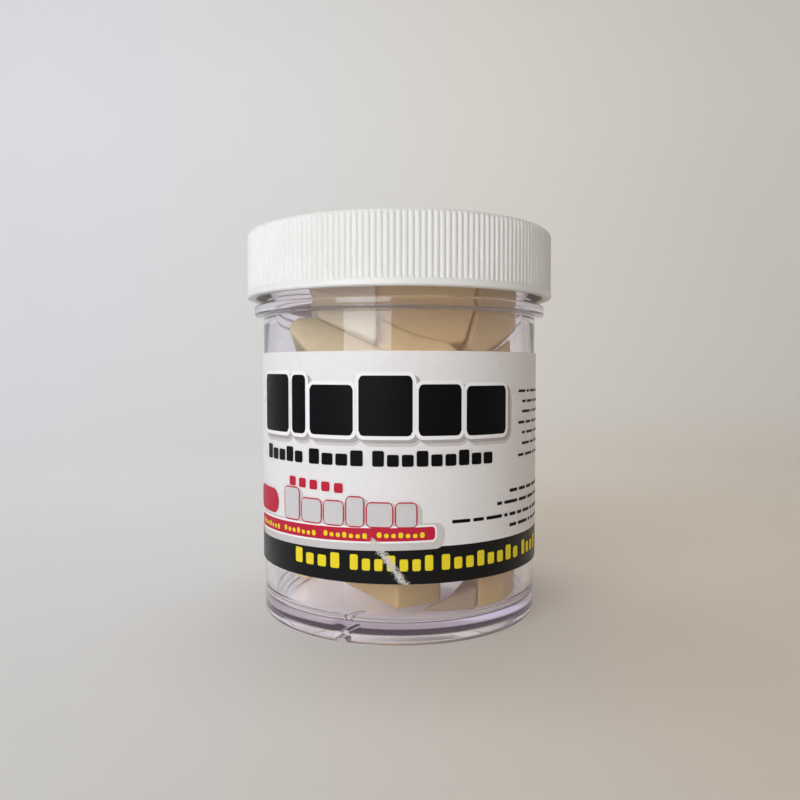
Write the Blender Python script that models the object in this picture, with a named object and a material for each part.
"""Screw-top jar of detailing clay: a clear straight-sided jar with a ribbed continuous-thread cap.

The jar stands upright. Its origin is the centre of the foot ring's underside, +Z is up, and -Y is the
label's front. Lengths are in metres.
"""

import math

import bmesh
import bpy
from mathutils import Matrix, Vector

MM = 0.001

# Driving dimensions: a 58 mm single-turn screw finish on a 120 ml jar.
CAP_RADIUS = 30.5 * MM
BODY_RADIUS = 27.3 * MM
TOTAL_HEIGHT = 74.5 * MM
WALL = 2.1 * MM
THREAD_PITCH = 25.4 / 6 * MM
SEGMENTS = 72
SMOOTH_ANGLE = math.radians(35)

# Jar.
BORE_RADIUS = BODY_RADIUS - WALL
FOOT_HEIGHT = 1.4 * MM
FOOT_WIDTH = 3.3 * MM
FOOT_DRAFT = 0.3 * MM
FLOOR_TOP = 3.4 * MM
FLOOR_FILLET = 2.4 * MM
EDGE_RADIUS = 0.7 * MM
FLANGE_RADIUS = 29.1 * MM
FLANGE_BOTTOM = 58.2 * MM
FLANGE_TOP = 60.1 * MM
FLANGE_CHAMFER = 0.35 * MM
NECK_RADIUS = 26.7 * MM
MOUTH_HEIGHT = 71.8 * MM
MOUTH_CHAMFER = 0.3 * MM
NOTCH_WIDTH = 2.3 * MM
NOTCH_HEIGHT = 1.1 * MM
NOTCH_OVERSHOOT = 1.5 * MM
NOTCH_ANGLE = math.radians(-22)  # from the label's front, towards -X

# Thread on the neck, and the cap's own thread, which runs just under it.
NECK_THREAD_START = 64.7 * MM
NECK_THREAD_TURNS = 1.12
NECK_THREAD_RADIUS = 28.0 * MM
NECK_THREAD_ROOT_HALF = 1.2 * MM
NECK_THREAD_CREST_HALF = 0.6 * MM
CAP_THREAD_DROP = 1.75 * MM
CAP_THREAD_TURNS = 1.0
CAP_THREAD_RADIUS = 27.35 * MM
CAP_THREAD_ROOT_HALF = 0.9 * MM
CAP_THREAD_CREST_HALF = 0.5 * MM
THREAD_SINK = 0.5 * MM  # how far a thread's root reaches into its wall
THREAD_RUNOUT = 4  # steps over which a thread's end fades into its wall
THREAD_END_HEIGHT = 0.15  # a thread's height at its very end, of its full height
THREAD_START_ANGLE = math.radians(40)

# Cap.
CAP_BOTTOM = 61.6 * MM
CAP_BAND_TOP = 62.95 * MM
CAP_TOP_THICKNESS = 1.3 * MM
CAP_BORE_RADIUS = 28.6 * MM
CAP_CORNER = 1.1 * MM
RIB_COUNT = 180
RIB_DEPTH = 0.45 * MM
RIB_FADE = 0.25 * MM
GATE_RADIUS = 1.8 * MM
GATE_DEPTH = 0.3 * MM

# Liner and label.
LINER_RADIUS = 28.0 * MM
LINER_THICKNESS = 0.8 * MM
LINER_GAP = 0.3 * MM
LINER_BOTTOM = MOUTH_HEIGHT + LINER_GAP
LABEL_BOTTOM = 11.0 * MM
LABEL_TOP = 50.9 * MM
LABEL_GAP = 0.1 * MM
LABEL_THICKNESS = 0.2 * MM
LABEL_OPEN_STEPS = 2  # segments left bare at the back, where the label's ends nearly meet

# Clay: cut pieces of one bar, packed in the jar. A slab is an outline seen from the front, in X and Z,
# swept from its front face to its back: ((front, its slope along X, and along Z, back), outline).
# The slabs lean together as they go back, by the lean per length behind the plane that the outlines are in.
# A block has one outline on the floor, in X and Y, and another above it: (base, height, top).
CLAY_EDGE = 0.35 * MM
CLAY_LEAN_X = -0.12
CLAY_LEAN_Z = -0.2
CLAY_LEAN_FROM = -9.0
CLAY_FLOOR_GAP = 0.4 * MM
CLAY_FLOOR = FLOOR_TOP + CLAY_FLOOR_GAP
CLAY_SLABS = {
    "clay_upper_left": (
        (-9.0, -0.1, 0.1, 7.5),
        [
            (-15.8, 58.7),
            (-18.9, 58.9),
            (-20.6, 57.9),
            (-21.0, 56.7),
            (-20.5, 55.3),
            (-17.3, 51.6),
            (-5.5, 41.0),
            (4.5, 47.8),
        ],
    ),
    "clay_top_left": (
        (-9.5, -0.3, 0.2, 10.0),
        [(-15.3, 58.9), (-4.6, 53.1), (-4.6, 65.0), (-17.5, 65.0)],
    ),
    "clay_top_middle": (
        (-7.5, 0.05, -0.1, 10.0),
        [(-4.2, 58.9), (3.1, 55.6), (9.6, 54.2), (13.0, 54.6), (16.0, 65.0), (-4.2, 65.0)],
    ),
    "clay_centre": (
        (-9.0, 0.05, 0.0, 10.0),
        [(-4.2, 58.5), (-4.2, 53.0), (9.3, 45.6), (11.6, 52.0), (9.6, 53.8), (3.1, 55.2)],
    ),
    "clay_top_right": (
        (-6.5, 0.3, 0.0, 6.0),
        [(16.5, 64.8), (13.4, 53.4), (15.6, 51.2), (23.9, 57.4), (23.4, 64.8)],
    ),
    "clay_right": (
        (-3.0, 0.2, 0.1, 6.0),
        [(15.9, 50.6), (12.4, 43.0), (23.9, 37.6), (23.9, 56.6)],
    ),
    "clay_back": (
        (10.9, 0.0, 0.0, 18.3),
        [(-11.5, 66.5), (-10.0, 50.0), (-3.0, 10.0), (8.0, 10.0), (18.0, 47.0), (17.5, 67.0)],
    ),
}
CLAY_BLOCKS = {
    "clay_lower_left": (
        [(-22.8, 4.8), (-19.6, 1.6), (-12.5, 9.0), (-16.5, 15.5)],
        41.0,
        [(-22.4, 4.4), (-19.0, 1.2), (-11.4, 8.0), (-16.0, 15.5)],
    ),
    "clay_lower_middle": (
        [(-11.9, 0.2), (-0.5, -17.8), (7.7, -12.7), (4.0, 9.0)],
        36.5,
        [(-9.0, 2.0), (-0.8, -16.5), (7.7, -12.7), (5.0, 10.0)],
    ),
    "clay_lower_wedge": (
        [(3.6, -18.8), (13.4, -19.3), (13.4, -9.5), (9.2, -12.3)],
        8.2,
        [(12.7, -17.8), (13.9, -18.6), (13.7, -10.5), (12.7, -12.0)],
    ),
    "clay_lower_right": (
        [(13.9, -18.4), (18.7, -14.3), (23.1, -5.0), (15.5, 3.0)],
        33.8,
        [(14.3, -17.9), (19.4, -14.2), (23.9, -5.0), (14.8, 2.0)],
    ),
}

# Materials: colour, roughness, how much light goes through.
CLEAR_STYRENE = ("clear_styrene", (0.92, 0.91, 0.93, 1.0), 0.05, 0.9)
WHITE_POLYPROPYLENE = ("white_polypropylene", (0.86, 0.86, 0.85, 1.0), 0.45, 0.0)
LINER_FOAM = ("liner_foam", (0.90, 0.90, 0.88, 1.0), 0.8, 0.0)
LABEL_PAPER = ("label_paper", (0.88, 0.87, 0.88, 1.0), 0.35, 0.0)
CLAY = ("clay", (0.60, 0.47, 0.33, 1.0), 0.6, 0.0)


def clear_scene():
    for obj in list(bpy.data.objects):
        bpy.data.objects.remove(obj)


def material(name, colour, roughness, transmission):
    found = bpy.data.materials.get(name)
    if found:
        return found
    made = bpy.data.materials.new(name)
    made.use_nodes = True
    shader = made.node_tree.nodes["Principled BSDF"]
    shader.inputs["Base Color"].default_value = colour
    shader.inputs["Roughness"].default_value = roughness
    shader.inputs["Metallic"].default_value = 0.0
    shader.inputs["Transmission Weight"].default_value = transmission
    return made


def add_object(name, bm, look):
    """Makes the node's object from a closed bmesh."""
    bmesh.ops.recalc_face_normals(bm, faces=bm.faces)
    mesh = bpy.data.meshes.new(name)
    bm.to_mesh(mesh)
    bm.free()
    mesh.shade_smooth()
    mesh.set_sharp_from_angle(angle=SMOOTH_ANGLE)
    mesh.materials.append(material(*look))
    obj = bpy.data.objects.new(name, mesh)
    bpy.context.scene.collection.objects.link(obj)
    return obj


def boolean(target, tool, operation):
    """Joins or cuts with a helper object, which the model leaves out."""
    tool.hide_render = True
    tool.display_type = "WIRE"
    modifier = target.modifiers.new(tool.name, "BOOLEAN")
    modifier.operation = operation
    modifier.solver = "EXACT"
    modifier.object = tool


def arc(centre_r, centre_z, radius, start_deg, end_deg, steps):
    """Points of a profile's round corner, as (radius, height)."""
    angles = [math.radians(start_deg + (end_deg - start_deg) * i / steps) for i in range(steps + 1)]
    return [(centre_r + radius * math.cos(a), centre_z + radius * math.sin(a)) for a in angles]


def ring(bm, radius_at, height, count):
    """A level ring of vertices. radius_at gives the radius at each step."""
    points = []
    for i in range(count):
        angle = 2 * math.pi * i / count
        radius = radius_at(i)
        points.append(bm.verts.new((radius * math.cos(angle), radius * math.sin(angle), height)))
    return points


def stitch(bm, coarse, fine):
    """Faces between two rings. The fine ring has a whole number of steps to each coarse one."""
    ratio = len(fine) // len(coarse)
    for i, corner in enumerate(coarse):
        following = coarse[(i + 1) % len(coarse)]
        steps = [fine[(i * ratio + k) % len(fine)] for k in range(ratio + 1)]
        if ratio == 1:
            bm.faces.new((corner, following, steps[1], steps[0]))
            continue
        middle = (ratio + 1) // 2
        for k in range(ratio):
            bm.faces.new((corner if k < middle else following, steps[k + 1], steps[k]))
        bm.faces.new((corner, following, steps[middle]))


def lathe(bm, profile, count):
    """Turns a profile from the axis, round the part and back to the axis into rings and two end discs."""
    rings = [ring(bm, lambda i, r=radius: r, height, count) for radius, height in profile]
    for lower, upper in zip(rings, rings[1:]):
        stitch(bm, lower, upper)
    bm.faces.new(rings[0])
    bm.faces.new(rings[-1])


def thread_ridge(name, start, turns, root, crest, root_half, crest_half):
    """A helical ridge with a trapezium section, whose ends fade back into the wall that it stands on."""
    steps = round(turns * SEGMENTS)
    bm = bmesh.new()
    sections = []
    for i in range(steps + 1):
        fade = min(1.0, i / THREAD_RUNOUT, (steps - i) / THREAD_RUNOUT)
        tip = root + (crest - root) * max(fade, THREAD_END_HEIGHT)
        angle = THREAD_START_ANGLE + 2 * math.pi * i / SEGMENTS
        centre = start + THREAD_PITCH * i / SEGMENTS
        around = Vector((math.cos(angle), math.sin(angle), 0))
        corners = ((root, -root_half), (tip, -crest_half), (tip, crest_half), (root, root_half))
        sections.append([bm.verts.new(around * r + Vector((0, 0, centre + dz))) for r, dz in corners])
    for before, after in zip(sections, sections[1:]):
        for a in range(4):
            b = (a + 1) % 4
            bm.faces.new((before[a], before[b], after[b], after[a]))
    bm.faces.new(sections[0])
    bm.faces.new(sections[-1])
    return add_object(name, bm, CLEAR_STYRENE)


def flare(root, crest, sunk_root, root_half, crest_half):
    """Half width of a thread's flank where its root has been sunk into the wall."""
    return root_half + (root_half - crest_half) * abs(root - sunk_root) / abs(crest - root)


def make_jar():
    foot_inner = BODY_RADIUS - FOOT_WIDTH
    profile = [(BORE_RADIUS * 0.5, FOOT_HEIGHT), (foot_inner - FOOT_DRAFT, FOOT_HEIGHT), (foot_inner, 0)]
    profile += arc(BODY_RADIUS - EDGE_RADIUS, EDGE_RADIUS, EDGE_RADIUS, -90, 0, 3)
    profile += [
        (BODY_RADIUS, FLANGE_BOTTOM),
        (FLANGE_RADIUS - FLANGE_CHAMFER, FLANGE_BOTTOM),
        (FLANGE_RADIUS, FLANGE_BOTTOM + FLANGE_CHAMFER),
        (FLANGE_RADIUS, FLANGE_TOP - FLANGE_CHAMFER),
        (FLANGE_RADIUS - FLANGE_CHAMFER, FLANGE_TOP),
        (NECK_RADIUS, FLANGE_TOP),
        (NECK_RADIUS, MOUTH_HEIGHT - MOUTH_CHAMFER),
        (NECK_RADIUS - MOUTH_CHAMFER, MOUTH_HEIGHT),
        (BORE_RADIUS + MOUTH_CHAMFER, MOUTH_HEIGHT),
        (BORE_RADIUS, MOUTH_HEIGHT - MOUTH_CHAMFER),
    ]
    profile += arc(BORE_RADIUS - FLOOR_FILLET, FLOOR_TOP + FLOOR_FILLET, FLOOR_FILLET, 0, -90, 4)
    bm = bmesh.new()
    lathe(bm, profile, SEGMENTS)
    jar = add_object("jar_body", bm, CLEAR_STYRENE)

    root = NECK_RADIUS - THREAD_SINK
    half = flare(NECK_RADIUS, NECK_THREAD_RADIUS, root, NECK_THREAD_ROOT_HALF, NECK_THREAD_CREST_HALF)
    ridge = thread_ridge(
        "neck_thread_helper",
        NECK_THREAD_START,
        NECK_THREAD_TURNS,
        root,
        NECK_THREAD_RADIUS,
        half,
        NECK_THREAD_CREST_HALF,
    )
    boolean(jar, ridge, "UNION")
    boolean(jar, make_notch_cutter(), "DIFFERENCE")
    return jar


def make_notch_cutter():
    """A radial box that opens the foot ring, where a labelling machine's pin locates the jar."""
    inner = BODY_RADIUS - FOOT_WIDTH - NOTCH_OVERSHOOT
    outer = BODY_RADIUS + NOTCH_OVERSHOOT
    bm = bmesh.new()
    size = Matrix.Diagonal((outer - inner, NOTCH_WIDTH, 2 * NOTCH_HEIGHT, 1))
    bmesh.ops.create_cube(bm, size=1.0, matrix=Matrix.Translation(((inner + outer) / 2, 0, 0)) @ size)
    cutter = add_object("notch_helper", bm, CLEAR_STYRENE)
    cutter.rotation_euler.z = NOTCH_ANGLE - math.pi / 2
    return cutter


def make_cap():
    bm = bmesh.new()
    fine_count = 2 * RIB_COUNT
    valley = CAP_RADIUS - RIB_DEPTH

    def plain(radius):
        return lambda i: radius

    def ribbed(i):
        return CAP_RADIUS if i % 2 else valley

    def smooth_ring(radius, height):
        return ring(bm, plain(radius), height, SEGMENTS)

    def fine_ring(radius, height):
        return ring(bm, plain(radius), height, fine_count)

    ceiling = TOTAL_HEIGHT - CAP_TOP_THICKNESS
    gate_floor = smooth_ring(GATE_RADIUS, TOTAL_HEIGHT - GATE_DEPTH)
    gate_edge = smooth_ring(GATE_RADIUS, TOTAL_HEIGHT)
    top_edge = fine_ring(CAP_RADIUS - CAP_CORNER, TOTAL_HEIGHT)
    corner = fine_ring(CAP_RADIUS - CAP_CORNER / 2, TOTAL_HEIGHT - CAP_CORNER / 4)
    rib_upper = ring(bm, ribbed, TOTAL_HEIGHT - CAP_CORNER, fine_count)
    rib_lower = ring(bm, ribbed, CAP_BAND_TOP + RIB_FADE, fine_count)
    band_upper = fine_ring(CAP_RADIUS, CAP_BAND_TOP)
    band_lower = smooth_ring(CAP_RADIUS, CAP_BOTTOM)
    skirt_inner = smooth_ring(CAP_BORE_RADIUS, CAP_BOTTOM)
    wall_inner = smooth_ring(CAP_BORE_RADIUS, ceiling)
    bm.faces.new(gate_floor)
    stitch(bm, gate_floor, gate_edge)
    stitch(bm, gate_edge, top_edge)
    stitch(bm, top_edge, corner)
    stitch(bm, corner, rib_upper)
    stitch(bm, rib_upper, rib_lower)
    stitch(bm, rib_lower, band_upper)
    stitch(bm, band_lower, band_upper)
    stitch(bm, band_lower, skirt_inner)
    stitch(bm, skirt_inner, wall_inner)
    bm.faces.new(wall_inner)
    cap = add_object("screw_cap", bm, WHITE_POLYPROPYLENE)

    root = CAP_BORE_RADIUS + THREAD_SINK
    half = flare(CAP_BORE_RADIUS, CAP_THREAD_RADIUS, root, CAP_THREAD_ROOT_HALF, CAP_THREAD_CREST_HALF)
    ridge = thread_ridge(
        "cap_thread_helper",
        NECK_THREAD_START - CAP_THREAD_DROP,
        CAP_THREAD_TURNS,
        root,
        CAP_THREAD_RADIUS,
        half,
        CAP_THREAD_CREST_HALF,
    )
    boolean(cap, ridge, "UNION")
    return cap


def make_liner():
    """The foam disc in the cap's ceiling, which seals on the jar's mouth."""
    bm = bmesh.new()
    lathe(bm, [(LINER_RADIUS, LINER_BOTTOM), (LINER_RADIUS, LINER_BOTTOM + LINER_THICKNESS)], SEGMENTS)
    return add_object("cap_liner", bm, LINER_FOAM)


def make_label():
    """A thin sleeve round the jar, open at the back."""
    inner = BODY_RADIUS + LABEL_GAP
    outer = inner + LABEL_THICKNESS
    bm = bmesh.new()
    first = SEGMENTS // 4 + LABEL_OPEN_STEPS // 2
    sections = []
    for i in range(SEGMENTS - LABEL_OPEN_STEPS + 1):
        angle = 2 * math.pi * (first + i) / SEGMENTS
        around = Vector((math.cos(angle), math.sin(angle), 0))
        corners = ((inner, LABEL_BOTTOM), (outer, LABEL_BOTTOM), (outer, LABEL_TOP), (inner, LABEL_TOP))
        sections.append([bm.verts.new(around * r + Vector((0, 0, z))) for r, z in corners])
    for before, after in zip(sections, sections[1:]):
        for a in range(4):
            b = (a + 1) % 4
            bm.faces.new((before[a], before[b], after[b], after[a]))
    bm.faces.new(sections[0])
    bm.faces.new(sections[-1])
    return add_object("wrap_label", bm, LABEL_PAPER)


def make_clay(name, near, far):
    """A clay piece between two matching outlines, with rounded edges. Its origin is at its middle."""
    middle = sum((Vector(p) for p in near + far), Vector()) / (2 * len(near))
    bm = bmesh.new()
    front = [bm.verts.new(Vector(p) - middle) for p in near]
    back = [bm.verts.new(Vector(p) - middle) for p in far]
    for a in range(len(near)):
        b = (a + 1) % len(near)
        bm.faces.new((front[a], front[b], back[b], back[a]))
    bm.faces.new(front)
    bm.faces.new(back)
    piece = add_object(name, bm, CLAY)
    piece.location = middle
    bevel = piece.modifiers.new("cut_edges", "BEVEL")
    bevel.width = CLAY_EDGE
    bevel.segments = 2
    bevel.limit_method = "NONE"
    return piece


def leaning(x, y, z):
    """A slab's point, in metres, from its outline and its depth in mm."""
    behind = y - CLAY_LEAN_FROM
    return ((x + CLAY_LEAN_X * behind) * MM, y * MM, (z + CLAY_LEAN_Z * behind) * MM)


def make_clay_pieces():
    for name, ((front, slope_x, slope_z, back), outline) in CLAY_SLABS.items():
        centre_x = sum(x for x, z in outline) / len(outline)
        centre_z = sum(z for x, z in outline) / len(outline)
        near = []
        far = []
        for x, z in outline:
            y = front + slope_x * (x - centre_x) + slope_z * (z - centre_z)
            near.append(leaning(x, y, z))
            far.append(leaning(x, back, z))
        make_clay(name, near, far)
    for name, (base, height, top) in CLAY_BLOCKS.items():
        near = [(x * MM, y * MM, CLAY_FLOOR) for x, y in base]
        far = [(x * MM, y * MM, height * MM) for x, y in top]
        make_clay(name, near, far)


def main():
    clear_scene()
    make_jar()
    make_cap()
    make_liner()
    make_label()
    make_clay_pieces()


main()
